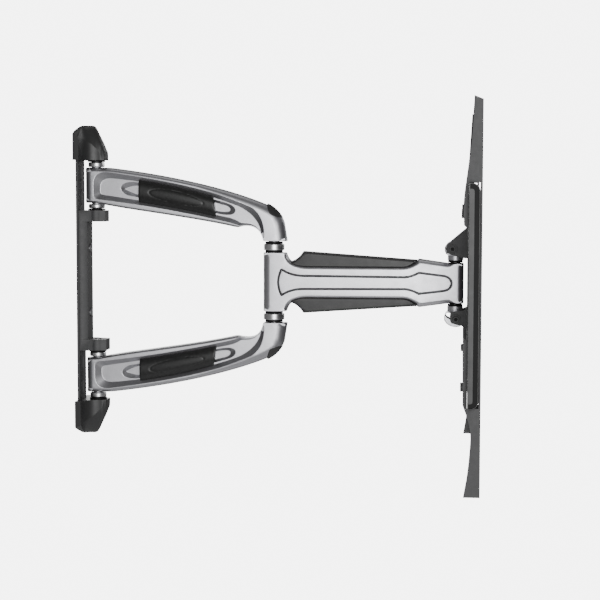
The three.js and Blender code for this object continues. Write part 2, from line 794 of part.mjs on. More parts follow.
for (const [level, mirror] of levels) {
  place(`${level}_pivot_block`, pivotBlock(), steel, mirror);
  place(`${level}_end_cap`, endCap(), blackPlastic, mirror);
  place(`${level}_wall_pin`, wallPin(), steel, mirror);
  place(
    `${level}_wall_washer_outer`,
    ring(WALL_PIVOT_X, WALL_PIN_R + RUNNING, 10.8, 146.4, 148.3),
    nylon,
    mirror,
  );
  place(
    `${level}_wall_washer_inner`,
    ring(WALL_PIVOT_X, WALL_PIN_R + RUNNING, 10.8, EAR_OUTER_Z + GAP, 88.8),
    nylon,
    mirror,
  );
  place(`${level}_rear_arm`, rearArm(), silverPaint, mirror);
  place(`${level}_bush_outer`, armBush(ROOT_HIGH_Z + GAP, 146.1), chrome, mirror);
  place(`${level}_bush_inner`, armBush(89.1, ROOT_LOW_Z - GAP), chrome, mirror);
  place(`${level}_elbow_plug`, elbowPlug(), blackPlastic, mirror);
  for (const [side, sign] of sides) {
    place(`${level}_${side}_arm_pad`, armPad(sign), softPad, mirror);
  }
  place(
    `${level}_elbow_ring`,
    ring(ELBOW_X, ELBOW_PIN_R + RUNNING, ELBOW_RING_R, 38.8, 46.5),
    chrome,
    mirror,
  );
  place(
    `${level}_elbow_washer_outer`,
    ring(ELBOW_X, ELBOW_PIN_R + RUNNING, ELBOW_WASHER_R, 46.8, ARM_END_Z - GAP),
    nylon,
    mirror,
  );
  place(
    `${level}_elbow_washer_inner`,
    ring(ELBOW_X, ELBOW_PIN_R + RUNNING, ELBOW_WASHER_R, HUB_HALF_H + GAP, 38.5),
    nylon,
    mirror,
  );
  place(
    `${level}_hub_bush`,
    ring(ELBOW_X, ELBOW_PIN_R + RUNNING, HUB_BORE_R - 0.1, 18, HUB_HALF_H - 0.2),
    nylon,
    mirror,
  );
  place(`${level}_cable_cover`, cableCover(), blackPlastic, mirror);
  place(
    `${level}_barrel_bush`,
    ring(HEAD_X, POST_R + RUNNING, BARREL_BORE_R - 0.1, 12, BARREL_HALF_H - 0.2),
    nylon,
    mirror,
  );
  place(
    `${level}_head_washer`,
    ring(HEAD_X, POST_R + RUNNING, 9, BARREL_HALF_H + GAP, KNUCKLE_LOW_Z - GAP),
    nylon,
    mirror,
  );
}

place("elbow_pin", elbowPin(), steel);
place("front_arm", frontArm(), silverPaint);
place("head_post", headPost(), steel);
place("upper_knuckle", knuckle(1, UPPER_BOLT), silverPaint);
place("lower_knuckle", knuckle(-1, LOWER_BOLT), silverPaint);
place("tilt_frame", tiltFrame(), blackPaint);
place("centre_plate", centrePlate(), blackPaint);

for (const [level, bolt] of [["upper", UPPER_BOLT], ["lower", LOWER_BOLT]]) {
  place(`${level}_tilt_bolt`, tiltBolt(bolt), blackPaint);
  place(`${level}_tilt_nut`, tiltNut(bolt), blackPaint);
}

for (const [side, sign, mirror] of sides) {
  place(`${side}_plate_cap`, plateEndCap(sign), blackPlastic);
  place(`${side}_tv_bracket`, tvBracket(), blackPaint, mirror);
  place(`${side}_upper_lock_screw`, lockScrew(LOCK_UPPER_Z), blackPaint, mirror);
  place(`${side}_lower_lock_screw`, lockScrew(LOCK_LOWER_Z), blackPaint, mirror);
}

export default mount;
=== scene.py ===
import json
import math

import bmesh
import bpy
from mathutils import Matrix, Vector
from mathutils.geometry import delaunay_2d_cdt

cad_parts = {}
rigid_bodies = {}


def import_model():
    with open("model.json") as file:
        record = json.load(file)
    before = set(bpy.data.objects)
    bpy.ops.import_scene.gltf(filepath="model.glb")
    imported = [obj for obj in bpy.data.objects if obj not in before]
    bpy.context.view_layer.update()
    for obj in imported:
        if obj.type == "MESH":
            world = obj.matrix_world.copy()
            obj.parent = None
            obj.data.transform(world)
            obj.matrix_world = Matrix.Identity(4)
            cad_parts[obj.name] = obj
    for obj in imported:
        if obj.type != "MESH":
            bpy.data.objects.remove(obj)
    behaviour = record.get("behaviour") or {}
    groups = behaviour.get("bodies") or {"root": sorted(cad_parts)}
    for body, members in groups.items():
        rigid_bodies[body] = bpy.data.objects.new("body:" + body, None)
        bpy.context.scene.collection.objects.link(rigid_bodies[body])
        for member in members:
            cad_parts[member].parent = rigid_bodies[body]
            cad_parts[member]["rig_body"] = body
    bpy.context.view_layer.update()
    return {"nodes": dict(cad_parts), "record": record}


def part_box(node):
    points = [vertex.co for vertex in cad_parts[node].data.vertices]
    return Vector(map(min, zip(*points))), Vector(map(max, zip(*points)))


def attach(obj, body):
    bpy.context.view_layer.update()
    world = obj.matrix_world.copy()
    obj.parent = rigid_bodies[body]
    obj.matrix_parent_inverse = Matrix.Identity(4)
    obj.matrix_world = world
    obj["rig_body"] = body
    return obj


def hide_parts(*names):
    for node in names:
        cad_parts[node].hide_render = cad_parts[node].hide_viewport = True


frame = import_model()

MM = 0.001  # outlines are drawn in millimetres
SEGMENTS = 64  # round a turned piece

# ---------- places taken from the frame, in millimetres ----------


def low_high(node):
    low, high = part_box(node)
    return low / MM, high / MM


def middle(node):
    low, high = low_high(node)
    return (low + high) / 2


WALL_X = middle("upper_wall_pin").x
ELBOW_X = middle("elbow_pin").x
HEAD_X = middle("head_post").x
ARM_HALF_T = 11.0  # half thickness of a rear arm
FRONT_ARM_HALF_T = 11.5
SLOT_OF = {row["node"]: row["material_slot"] for row in frame["record"]["subparts"]}
LEVELS = (("upper", 1.0), ("lower", -1.0))
SIDES = (("left", -1.0), ("right", 1.0))

# ---------- outlines ----------


def on_curve(points, t):
    """A point on the Bezier curve with these control points."""
    while len(points) > 1:
        points = [a.lerp(b, t) for a, b in zip(points, points[1:])]
    return points[0]


def trace(start, *steps, spacing=1.4):
    """A closed outline; each step is (end), (control, end) or (control, control, end)."""
    points = [Vector(start)]
    for step in steps:
        controls = [points[-1]] + [Vector(p) for p in step]
        length = sum((b - a).length for a, b in zip(controls, controls[1:]))
        count = max(1, round(length / spacing))
        points += [on_curve(controls, i / count) for i in range(1, count + 1)]
    return points


def evenly(points, spacing):
    """The same closed outline with points a constant distance apart."""
    lengths = [(points[i] - points[i - 1]).length for i in range(len(points))]
    total = sum(lengths)
    count = round(total / spacing)
    result = []
    i = 0
    passed = 0.0
    for k in range(count):
        target = total * k / count
        while passed + lengths[(i + 1) % len(points)] < target:
            i += 1
            passed += lengths[i % len(points)]
        a = points[i % len(points)]
        b = points[(i + 1) % len(points)]
        span = lengths[(i + 1) % len(points)]
        result.append(a.lerp(b, (target - passed) / span if span else 0.0))
    return result


def softened(points, rounds):
    """Rounds the corners of an evenly spaced closed outline."""
    for _ in range(rounds):
        count = len(points)
        points = [
            (points[i - 1] + 2 * points[i] + points[(i + 1) % count]) / 4 for i in range(count)
        ]
    return points


def outline(start, *steps, spacing=1.0, rounds=2):
    """A closed outline with even points and softened corners, drawn anticlockwise."""
    return softened(evenly(trace(start, *steps), spacing), rounds)


def inward(points, i):
    """The unit vector into an anticlockwise outline at its point i."""
    along = points[(i + 1) % len(points)] - points[i - 1]
    return Vector((-along.y, along.x)).normalized()


def inset(points, amounts):
    """Moves each point of an anticlockwise outline inwards by its own amount."""
    if not isinstance(amounts, list):
        amounts = [amounts] * len(points)
    return [p + inward(points, i) * amounts[i] for i, p in enumerate(points)]


def blended(values, rounds):
    """Evens out the values along a closed outline."""
    for _ in range(rounds):
        count = len(values)
        values = [
            (values[i - 1] + 2 * values[i] + values[(i + 1) % count]) / 4 for i in range(count)
        ]
    return values


def inside(point, ring):
    """Whether the point lies inside the closed outline."""
    hit = False
    for a, b in zip(ring, ring[1:] + ring[:1]):
        if (a.y > point.y) != (b.y > point.y):
            if point.x < a.x + (b.x - a.x) * (point.y - a.y) / (b.y - a.y):
                hit = not hit
    return hit


# ---------- meshes ----------


class Skin:
    """A closed surface made of rings of points in the XZ plane, each at its own depth in Y."""

    def __init__(self):
        self.mesh = bmesh.new()
        # painted shade: a value on each point that darkens the silver paint where shade falls
        self.painted_shade = self.mesh.verts.layers.float.new("painted_shade")

    def ring(self, points, depth, painted_shade=0.0):
        """depth is a number or a function of x and z; the last value is painted shade that darkens the
        paint at these points.
        """
        verts = []
        for p in points:
            y = depth(p.x, p.y) if callable(depth) else depth
            vert = self.mesh.verts.new((p.x * MM, y * MM, p.y * MM))
            vert[self.painted_shade] = painted_shade
            verts.append(vert)
        return verts

    def band(self, a, b):
        """Joins two rings that have the same number of points."""
        count = len(a)
        for i in range(count):
            k = (i + 1) % count
            self.mesh.faces.new((a[i], a[k], b[k], b[i]))

    def bands(self, rings):
        for a, b in zip(rings, rings[1:]):
            self.band(a, b)

    def fill(self, outer, holes=()):
        """Covers the space inside a ring, apart from the holes."""
        rings = [outer, *holes]
        flat = [[Vector((v.co.x, v.co.z)) / MM for v in ring] for ring in rings]
        verts = [v for ring in rings for v in ring]
        edges = []
        start = 0
        for ring in rings:
            count = len(ring)
            edges += [(start + i, start + (i + 1) % count) for i in range(count)]
            start += count
        coords = [p for ring in flat for p in ring]
        spots, _, faces, origin, _, _ = delaunay_2d_cdt(coords, edges, [], 1, 1e-6, True)
        for face in faces:
            centre = sum((spots[i] for i in face), Vector((0.0, 0.0))) / len(face)
            if not inside(centre, flat[0]) or any(inside(centre, hole) for hole in flat[1:]):
                continue
            corners = [verts[origin[i][0]] for i in face if origin[i]]
            if len(set(corners)) == 3:
                self.mesh.faces.new(corners)

    def piece(self, name, flip=1.0):
        return finished(self.mesh, name, flip)


def finished(mesh, name, flip=1.0, sharp=38.0):
    """Turns a bmesh into an object; flip = -1 mirrors it about Z = 0."""
    if flip < 0:
        bmesh.ops.scale(mesh, vec=(1.0, 1.0, -1.0), verts=mesh.verts)
    bmesh.ops.recalc_face_normals(mesh, faces=mesh.faces)
    data = bpy.data.meshes.new(name)
    mesh.to_mesh(data)
    mesh.free()
    data.shade_smooth()
    data.set_sharp_from_angle(angle=math.radians(sharp))
    piece = bpy.data.objects.new(name, data)
    bpy.context.scene.collection.objects.link(piece)
    even = piece.modifiers.new("even_normals", "WEIGHTED_NORMAL")
    even.keep_sharp = True
    even.weight = 80  # large faces count for more than small ones
    return piece


def stand_in(piece, *nodes):
    """The piece rides, looks and stands for the CAD nodes that it replaces."""
    slot = SLOT_OF[nodes[0]]
    piece.data.materials.append(MATERIALS[slot])
    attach(piece, frame["nodes"][nodes[0]]["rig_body"])
    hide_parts(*nodes)
    return piece


def shoulder(skin, points, widths, depth, sign, steps=7, painted_shade=0.0):
    """Rings from the outline at Y = 0 round a quarter ellipse to the flat face."""
    rings = []
    for k in range(1, steps + 1):
        angle = math.pi / 2 * k / steps
        reach = 1.0 - math.cos(angle)
        rise = math.sin(angle)
        ring = inset(points, [w * reach for w in widths])
        # painted shade on the rounded edge, none on the flat face
        shade = painted_shade if k < steps else 0.0
        rings.append(skin.ring(ring, lambda x, z, rise=rise: sign * rise * depth(x, z), shade))
    return rings


def turned(name, axis_point, direction, profile, segments=SEGMENTS):
    """A turned solid: profile is (radius, distance along the axis), closed at both ends."""
    mesh = bmesh.new()
    turn = Vector(direction).to_track_quat("Z", "Y").to_matrix()
    base = Vector(axis_point)
    rings = []
    for radius, height in profile:
        if radius < 1e-6:
            rings.append([mesh.verts.new((base + turn @ Vector((0, 0, height))) * MM)])
            continue
        ring = []
        for i in range(segments):
            angle = 2 * math.pi * i / segments
            spot = Vector((radius * math.cos(angle), radius * math.sin(angle), height))
            ring.append(mesh.verts.new((base + turn @ spot) * MM))
        rings.append(ring)
    loops = list(zip(rings, rings[1:]))
    if len(rings[0]) > 1 and len(rings[-1]) > 1:
        loops.append((rings[-1], rings[0]))
    for a, b in loops:
        for i in range(segments):
            k = (i + 1) % segments
            corners = [a[i % len(a)], a[k % len(a)], b[k % len(b)], b[i % len(b)]]
            mesh.faces.new(list(dict.fromkeys(corners)))
    return finished(mesh, name, sharp=50.0)


WELD = 0.02 * MM  # corners closer than this are one corner
FLAT_ANGLE = math.radians(3)  # faces closer to level than this become one face
CORNER_ANGLE = math.radians(30)  # edges sharper than this are rounded


def eased(node, width):
    """The CAD shape of a node with its sharp edges rounded."""
    mesh = bmesh.new()
    mesh.from_mesh(frame["nodes"][node].data)
    bmesh.ops.remove_doubles(mesh, verts=mesh.verts, dist=WELD)
    bmesh.ops.dissolve_limit(mesh, angle_limit=FLAT_ANGLE, verts=mesh.verts, edges=mesh.edges)
    edges = [e for e in mesh.edges if e.is_manifold and e.calc_face_angle(0.0) > CORNER_ANGLE]
    bmesh.ops.bevel(
        mesh, geom=edges, offset=width * MM, segments=2, profile=0.5, affect="EDGES", clamp_overlap=True
    )
    return stand_in(finished(mesh, "shaped_" + node), node)

# ---------- materials ----------


class Recipe:
    """A procedural material: object coordinates in metres drive colour, roughness and bump."""

    def __init__(self, name):
        self.material = bpy.data.materials.new(name)
        self.material.use_nodes = True
        self.tree = self.material.node_tree
        self.shader = self.tree.nodes["Principled BSDF"]
        self.place = self.tree.nodes.new("ShaderNodeTexCoord").outputs["Object"]

    def node(self, kind, **values):
        """A new node with the given values on its inputs."""
        node = self.tree.nodes.new(kind)
        for name, value in values.items():
            node.inputs[name].default_value = value
        return node

    def noise(self, size_mm, detail=3.0):
        node = self.node("ShaderNodeTexNoise", Scale=1000.0 / size_mm, Detail=detail)
        self.tree.links.new(self.place, node.inputs["Vector"])
        return node.outputs["Fac"]

    def flakes(self, size_mm):
        node = self.node("ShaderNodeTexVoronoi", Scale=1000.0 / size_mm)
        self.tree.links.new(self.place, node.inputs["Vector"])
        return node.outputs["Color"]

    def ramp(self, fac, *stops):
        """Maps a value to a colour; each stop is a position and a grey or a colour."""
        node = self.tree.nodes.new("ShaderNodeValToRGB")
        while len(node.color_ramp.elements) < len(stops):
            node.color_ramp.elements.new(0.5)
        for element, (position, value) in zip(node.color_ramp.elements, stops):
            element.position = position
            element.color = (*value, 1.0) if isinstance(value, tuple) else (value, value, value, 1.0)
        self.tree.links.new(fac, node.inputs["Fac"])
        return node.outputs["Color"]

    def scaled(self, value, low, high):
        """Maps a value from 0 to 1 to the range from low to high."""
        node = self.node("ShaderNodeMapRange")
        node.inputs["To Min"].default_value = low
        node.inputs["To Max"].default_value = high
        self.tree.links.new(value, node.inputs["Value"])
        return node.outputs["Result"]

    def darkened(self, a, b):
        """One colour multiplied by another."""
        node = self.tree.nodes.new("ShaderNodeMix")
        node.data_type = "RGBA"
        node.blend_type = "MULTIPLY"
        node.inputs["Factor"].default_value = 1.0
        self.tree.links.new(a, node.inputs["A"])
        self.tree.links.new(b, node.inputs["B"])
        return node.outputs["Result"]

    def bump(self, height, depth_mm, strength=1.0):
        node = self.node("ShaderNodeBump", Strength=strength, Distance=depth_mm * MM)
        self.tree.links.new(height, node.inputs["Height"])
        self.tree.links.new(node.outputs["Normal"], self.shader.inputs["Normal"])

    def feed(self, socket, output):
        self.tree.links.new(output, self.shader.inputs[socket])

    def set(self, **values):
        for name, value in values.items():
            self.shader.inputs[name.replace("_", " ")].default_value = value


def tone(value):
    """A very slightly cool grey."""
    return (value, value, value * 1.015)


def silver_paint():
    """Metallic silver paint: fine flake, slow cloudiness, painted shade in its steps, grooves and
    rounded edges, and a thin clear coat.
    """
    recipe = Recipe("silver_paint")
    flake = recipe.ramp(recipe.flakes(0.45), (0.0, tone(0.60)), (1.0, tone(0.84)))
    cloud = recipe.ramp(recipe.noise(24.0), (0.3, tone(0.92)), (0.7, tone(1.0)))
    paint = recipe.darkened(flake, cloud)
    # painted shade: the value stored on the mesh darkens the paint in steps, grooves and rounded edges
    painted_shade = recipe.tree.nodes.new("ShaderNodeAttribute")
    painted_shade.attribute_name = "painted_shade"
    shade_tint = recipe.ramp(painted_shade.outputs["Fac"], (0.0, tone(1.0)), (1.0, tone(0.12)))
    recipe.feed("Base Color", recipe.darkened(paint, shade_tint))
    recipe.feed("Roughness", recipe.scaled(recipe.noise(9.0), 0.34, 0.46))
    recipe.bump(recipe.noise(0.7, 2.0), 0.02, 0.35)
    recipe.set(Metallic=0.92, Coat_Weight=0.1, Coat_Roughness=0.3)
    return recipe.material


def powder_coat():
    """Dark grey powder coat: a fine pebbled skin with slightly paler high spots."""
    recipe = Recipe("black_paint")
    pebble = recipe.noise(0.9, 2.0)
    grain = recipe.ramp(pebble, (0.3, tone(0.044)), (0.7, tone(0.068)))
    cloud = recipe.ramp(recipe.noise(30.0), (0.3, tone(0.9)), (0.7, tone(1.0)))
    recipe.feed("Base Color", recipe.darkened(grain, cloud))
    recipe.feed("Roughness", recipe.scaled(recipe.noise(6.0), 0.46, 0.6))
    recipe.bump(pebble, 0.05, 0.5)
    return recipe.material


def moulded_plastic():
    """Black plastic with a fine spark-eroded grain."""
    recipe = Recipe("black_plastic")
    grain = recipe.noise(0.5, 3.0)
    recipe.feed("Base Color", recipe.ramp(grain, (0.3, tone(0.020)), (0.7, tone(0.034))))
    recipe.feed("Roughness", recipe.scaled(recipe.noise(12.0), 0.36, 0.5))
    recipe.bump(grain, 0.03, 0.4)
    return recipe.material


def soft_pad():
    """Soft black pad: satin, with faint scuffs that dull it."""
    recipe = Recipe("soft_pad")
    scuff = recipe.noise(3.0, 5.0)
    recipe.feed("Base Color", recipe.ramp(scuff, (0.35, tone(0.010)), (0.75, tone(0.018))))
    recipe.feed("Roughness", recipe.scaled(scuff, 0.3, 0.46))
    recipe.bump(recipe.noise(0.35, 2.0), 0.02, 0.3)
    return recipe.material


def polished_metal():
    """Bright plated rings with a trace of turning marks and cloudiness."""
    recipe = Recipe("polished_metal")
    haze = recipe.noise(4.0, 4.0)
    recipe.feed("Base Color", recipe.ramp(haze, (0.3, tone(0.78)), (0.7, tone(0.86))))
    recipe.feed("Roughness", recipe.scaled(haze, 0.26, 0.36))
    recipe.set(Metallic=1.0)
    return recipe.material


def bearing_nylon():
    """Smooth black bearing plastic."""
    recipe = Recipe("nylon")
    haze = recipe.noise(2.0, 3.0)
    recipe.feed("Base Color", recipe.ramp(haze, (0.3, tone(0.008)), (0.7, tone(0.014))))
    recipe.feed("Roughness", recipe.scaled(haze, 0.42, 0.55))
    recipe.set(Specular_IOR_Level=0.12)
    return recipe.material


def zinc_steel():
    """Zinc plated steel, darker in its grain."""
    recipe = Recipe("steel")
    grain = recipe.noise(0.8, 4.0)
    blotch = recipe.ramp(recipe.noise(5.0), (0.3, tone(0.8)), (0.7, tone(1.0)))
    colour = recipe.ramp(grain, (0.3, tone(0.26)), (0.7, tone(0.38)))
    recipe.feed("Base Color", recipe.darkened(colour, blotch))
    recipe.feed("Roughness", recipe.scaled(grain, 0.28, 0.44))
    recipe.bump(grain, 0.01, 0.3)
    recipe.set(Metallic=0.9)
    return recipe.material


MATERIALS = {
    "silver_paint": silver_paint(),
    "black_paint": powder_coat(),
    "black_plastic": moulded_plastic(),
    "soft_pad": soft_pad(),
    "polished_metal": polished_metal(),
    "nylon": bearing_nylon(),
    "steel": zinc_steel(),
}

# CAD pieces that no finer piece replaces keep their shape and get the same materials
for node, piece in frame["nodes"].items():
    piece.data.materials.clear()
    piece.data.materials.append(MATERIALS[SLOT_OF[node]])

# ---------- rear arms ----------

ROOT_LEFT = WALL_X - 13.2
ROOT_TOP = 139.6
ROOT_LOW = 96.0
ELBOW_END = 49.7
WEB_DEPTH = 6.0  # |Y| of the recessed web
BOAT_DEPTH = 2.2  # |Y| of the boat-shaped pocket under the pad
STEP_R = 0.45  # rounding of the steps between the faces
WEB_FOOT_R = 0.5
# painted shade: how much the paint is darkened on the walls of the recesses and on the rounded edges
WALL_SHADE = 0.55  # how dark the walls of the recesses are, from 0 to 1
SHOULDER_SHADE = 0.5  # how dark the rounded edges of a rear arm are
EVEN_ROUNDS = 14  # how gently the round of an edge changes its width


def rear_outline():
    return outline(
        (ROOT_LEFT, ROOT_LOW),
        [(24, 95.5)],
        [(60, 87.5), (140, 79), (196, 66.8)],
        [(199, 66), (202, 67)],
        [(206, 68.3), (212, 68.3)],
        [(228.5, 67.5), (231.2, ELBOW_END)],
        [(261, ELBOW_END)],
        [(257.5, 72)],
        [(254, 86), (234, 95.3)],
        [(184, 116), (110, 131), (44, 139)],
        [(38, ROOT_TOP), (30, ROOT_TOP)],
        [(ROOT_LEFT, ROOT_TOP)],
        [(ROOT_LEFT, ROOT_LOW)],
    )


def rear_shoulder(points):
    """How far the round of the edge reaches in: wide along the top and round the elbow."""
    widths = []
    for i, p in enumerate(points):
        out = -inward(points, i)
        if p.y < ELBOW_END + 1.0 and p.x > ELBOW_X - 14:  # end face of the elbow
            width = 0.7
        elif out.x > 0.75 and p.x > ELBOW_X:  # far side of the elbow
            width = 13.5
        elif out.y > 0.2:  # top edge, widening towards the elbow
            width = 5.4 + 5.0 * max(0.0, (p.x - 150) / 80) if p.x < 230 else 11.0
        elif out.x < -0.6 and p.x < WALL_X:  # barrel at the wall
            width = 9.0
        elif p.x > 203:  # inner bend of the elbow
            width = 0.6
        else:  # bottom edge
            width = 3.0
        widths.append(width)
    return blended(widths, EVEN_ROUNDS)


def rim_edge():
    """Outer edge of the step down from the face of the arm."""
    return outline(
        (20.8, 112),
        [(20.8, 105)],
        [(20.9, 101), (26, 100.4)],
        [(80, 94.5), (140, 84), (190, 72.5)],
        [(197.5, 70.6), (202, 68.9)],
        [(206, 69.8), (212, 69.8)],
        [(227.5, 69.2), (231.6, 54)],
        [(232.2, 52), (233.0, 54)],
        [(233.2, 72), (229.4, 88), (205, 97.6)],
        [(150, 117), (95, 126), (40, 133.6)],
        [(20.8, 136), (20.8, 118)],
        [(20.8, 112)],
        rounds=3,
    )


def web_edge():
    """Where that step meets the recessed web."""
    return outline(
        (28.4, 115),
        [(28.4, 109)],
        [(28.5, 106.3), (33, 105.8)],
        [(80, 99), (140, 88.5), (185, 79.3)],
        [(198, 76.8), (204, 71.8)],
        [(208, 71.6), (212, 71.4)],
        [(223, 70.6), (227.8, 60.5)],
        [(228.8, 57.5), (229.2, 60)],
        [(227.5, 69), (222, 83), (200, 93)],
        [(150, 111.5), (95, 121.6), (44, 126.3)],
        [(28.4, 127.5), (28.4, 115)],
        rounds=3,
    )


def boat_edge():
    """Outer edge of the boat-shaped pocket in the web."""
    return outline(
        (53.9, 114.5),
        [(55, 108.5), (63, 105.4)],
        [(90, 100.5), (140, 91.5), (178, 82.8)],
        [(197, 79.5), (197, 87.5)],
        [(196.5, 92.6), (186, 96.2)],
        [(150, 106.5), (110, 116), (80, 120.6)],
        [(56, 124.5), (53.9, 114.5)],
        rounds=3,
    )


def boat_floor():
    """Edge of the floor of that pocket."""
    return outline(
        (58.5, 113.4),
        [(67, 108), (78, 105.6)],
        [(100, 102), (140, 94.5), (176, 86.2)],
        [(190.5, 83.5), (190.5, 88.5)],
        [(189.5, 92.8), (180, 94.6)],
        [(150, 103), (110, 112), (82, 117.4)],
        [(68, 118.5), (58.5, 113.4)],
        rounds=1,
    )


# painted shade on the walls, none on the faces and floors
def wall_shade(slope):
    return WALL_SHADE if slope > 0.2 else 0.0


def step_down(skin, points, sign, high, low, radius):
    """Rings that round the edge between a face at |Y| = high and a wall falling to low."""
    profile = ((-radius, 0.0), (-0.35 * radius, 0.06), (0.35 * radius, 0.3), (radius, 0.9))
    drop = min(radius, high - low)
    return [
        skin.ring(inset(points, reach), sign * (high - fall * drop), wall_shade(fall))
        for reach, fall in profile
    ]


def step_level(skin, points, sign, high, low, radius):
    """Rings that round the foot of a wall where it meets a floor at |Y| = low."""
    profile = ((-radius, 0.8), (-0.3 * radius, 0.25), (0.4 * radius, 0.05), (radius, 0.0))
    rise = min(radius, high - low)
    return [
        skin.ring(inset(points, reach), sign * (low + lift * rise), wall_shade(lift))
        for reach, lift in profile
    ]


def rear_arm(name, flip):
    """The casting, with the same recesses in both of its faces."""
    skin = Skin()
    edge = rear_outline()
    widths = rear_shoulder(edge)
    rim = rim_edge()
    web = web_edge()
    boat = boat_edge()
    floor = boat_floor()
    # the outline and the rounded edges get painted shade
    seam = skin.ring(edge, 0.0, SHOULDER_SHADE)
    for sign in (-1.0, 1.0):
        round_off = shoulder(skin, edge, widths, lambda x, z: ARM_HALF_T, sign, painted_shade=SHOULDER_SHADE)
        skin.bands([seam, *round_off])
        rim_rings = step_down(skin, rim, sign, ARM_HALF_T, WEB_DEPTH, STEP_R)
        web_rings = step_level(skin, web, sign, ARM_HALF_T, WEB_DEPTH, WEB_FOOT_R)
        boat_rings = step_down(skin, boat, sign, WEB_DEPTH, BOAT_DEPTH, STEP_R)
        floor_rings = step_level(skin, floor, sign, WEB_DEPTH, BOAT_DEPTH, STEP_R)
        skin.fill(round_off[-1], [rim_rings[0]])
        skin.bands(rim_rings)
        skin.fill(rim_rings[-1], [web_rings[0]])
        skin.bands(web_rings)
        skin.fill(web_rings[-1], [boat_rings[0]])
        skin.bands(boat_rings)
        skin.fill(boat_rings[-1], [floor_rings[0]])
        skin.bands(floor_rings)
        skin.fill(floor_rings[-1])
    return skin.piece(name, flip)


# ---------- pads ----------

PAD_LOW = ((77.2, 96.6), (126, 90.5), (173.6, 78.9))  # curves of its lower and upper edges
PAD_HIGH = ((77.2, 124.2), (126, 116.8), (170.2, 103.6))
PAD_BACK = 2.4  # |Y| of its hidden back
PAD_EDGE = 7.6  # |Y| of its surface at the long edges
PAD_BULGE = 4.3
OVAL_X = 124.2  # middle and half length of the oval in its surface
OVAL_HALF_L = 33.6
OVAL_V = 0.04  # the same across the pad, where its edges are at -1 and 1
OVAL_HALF_V = 0.56
OVAL_RIM = 0.035  # width of the groove round the oval, as a share of its size
OVAL_GROOVE = 0.35
OVAL_CROWN = 0.45
PAD_COLUMNS = 110
PAD_ROWS = 44


def pad_surface(u, v):
    """Point of the pad at u along it and v across it, both from -1 to 1, as x, z and |Y|."""
    low = on_curve([Vector(p) for p in PAD_LOW], (u + 1) / 2)
    high = on_curve([Vector(p) for p in PAD_HIGH], (u + 1) / 2)
    spot = low.lerp(high, (v + 1) / 2)
    bulge = 1.0 - abs(v) ** 2.4
    reach = math.hypot((spot.x - OVAL_X) / OVAL_HALF_L, (v - OVAL_V) / OVAL_HALF_V)
    groove = math.exp(-(((reach - 1.0) / OVAL_RIM) ** 2))
    crown = OVAL_CROWN * max(0.0, 1.0 - reach**2)
    height = PAD_EDGE + PAD_BULGE * bulge - OVAL_GROOVE * groove + crown
    return spot, height


def arm_pad(name, sign, flip):
    """A closed cushion-like strip; its back lies inside the recess of the arm."""
    mesh = bmesh.new()
    front, back = [], []
    for i in range(PAD_COLUMNS + 1):
        u = -1 + 2 * i / PAD_COLUMNS
        front.append([])
        back.append([])
        for k in range(PAD_ROWS + 1):
            v = -math.cos(math.pi * k / PAD_ROWS)
            spot, height = pad_surface(u, v)
            ease = min(1.0, min(i, PAD_COLUMNS - i) / 2)
            height -= 0.7 * (1 - ease) ** 2  # the short ends are rounded
            front[-1].append(mesh.verts.new((spot.x * MM, sign * height * MM, spot.y * MM)))
            back[-1].append(mesh.verts.new((spot.x * MM, sign * PAD_BACK * MM, spot.y * MM)))
    for grid in (front, back):
        for a, b in zip(grid, grid[1:]):
            for k in range(PAD_ROWS):
                mesh.faces.new((a[k], a[k + 1], b[k + 1], b[k]))
    for i in range(PAD_COLUMNS):
        for k in (0, PAD_ROWS):
            mesh.faces.new((front[i][k], front[i + 1][k], back[i + 1][k], back[i][k]))
    for i in (0, PAD_COLUMNS):
        for k in range(PAD_ROWS):
            mesh.faces.new((front[i][k], front[i][k + 1], back[i][k + 1], back[i][k]))
    return finished(mesh, name, flip)


# ---------- elbow ----------

PLUG_CENTRE = Vector((246.2, 0, 87.9))
PLUG_TILT = math.radians(43)
PLUG_HALF_L = 12.6
PLUG_HALF_W = 10.5
PLUG_TOP = 1.55  # height of its middle over the centre
PLUG_SEGMENTS = 56
# share of the full size and height over the edge, from the hidden foot to near the middle
PLUG_RINGS = ((1, -5.0), (1, -0.5), (0.985, -0.1), (0.95, 0.05), (0.7, 0.3), (0.35, 0.5))


def elbow_plug(name, flip):
    """An oval plug that follows the round of the elbow's shoulder."""
    mesh = bmesh.new()
    down = Vector((math.cos(PLUG_TILT), 0, -math.sin(PLUG_TILT)))
    out = Vector((math.sin(PLUG_TILT), 0, math.cos(PLUG_TILT)))
    rings = []
    for reach, lift in PLUG_RINGS:
        ring = []
        for i in range(PLUG_SEGMENTS):
            angle = 2 * math.pi * i / PLUG_SEGMENTS
            a = PLUG_HALF_L * reach * math.cos(angle)
            b = PLUG_HALF_W * reach * math.sin(angle)
            sag = 12.0 * (1 - math.sqrt(1 - (b / ARM_HALF_T) ** 2)) + 1.5 * (a / PLUG_HALF_L) ** 2
            spot = PLUG_CENTRE + down * a + Vector((0, b, 0)) + out * (lift - sag + 1.0)
            ring.append(mesh.verts.new(spot * MM))
        rings.append(ring)
    for a, b in zip(rings, rings[1:]):
        for i in range(PLUG_SEGMENTS):
            k = (i + 1) % PLUG_SEGMENTS
            mesh.faces.new((a[i], a[k], b[k], b[i]))
    top = mesh.verts.new((PLUG_CENTRE + out * PLUG_TOP) * MM)
    for i in range(PLUG_SEGMENTS):
        mesh.faces.new((rings[-1][i], rings[-1][(i + 1) % PLUG_SEGMENTS], top))
    mesh.faces.new(list(reversed(rings[0])))
    return finished(mesh, name, flip)


def quarter(steps=5):
    """Angles from nought to a right angle."""
    return [math.pi / 2 * i / steps for i in range(steps + 1)]


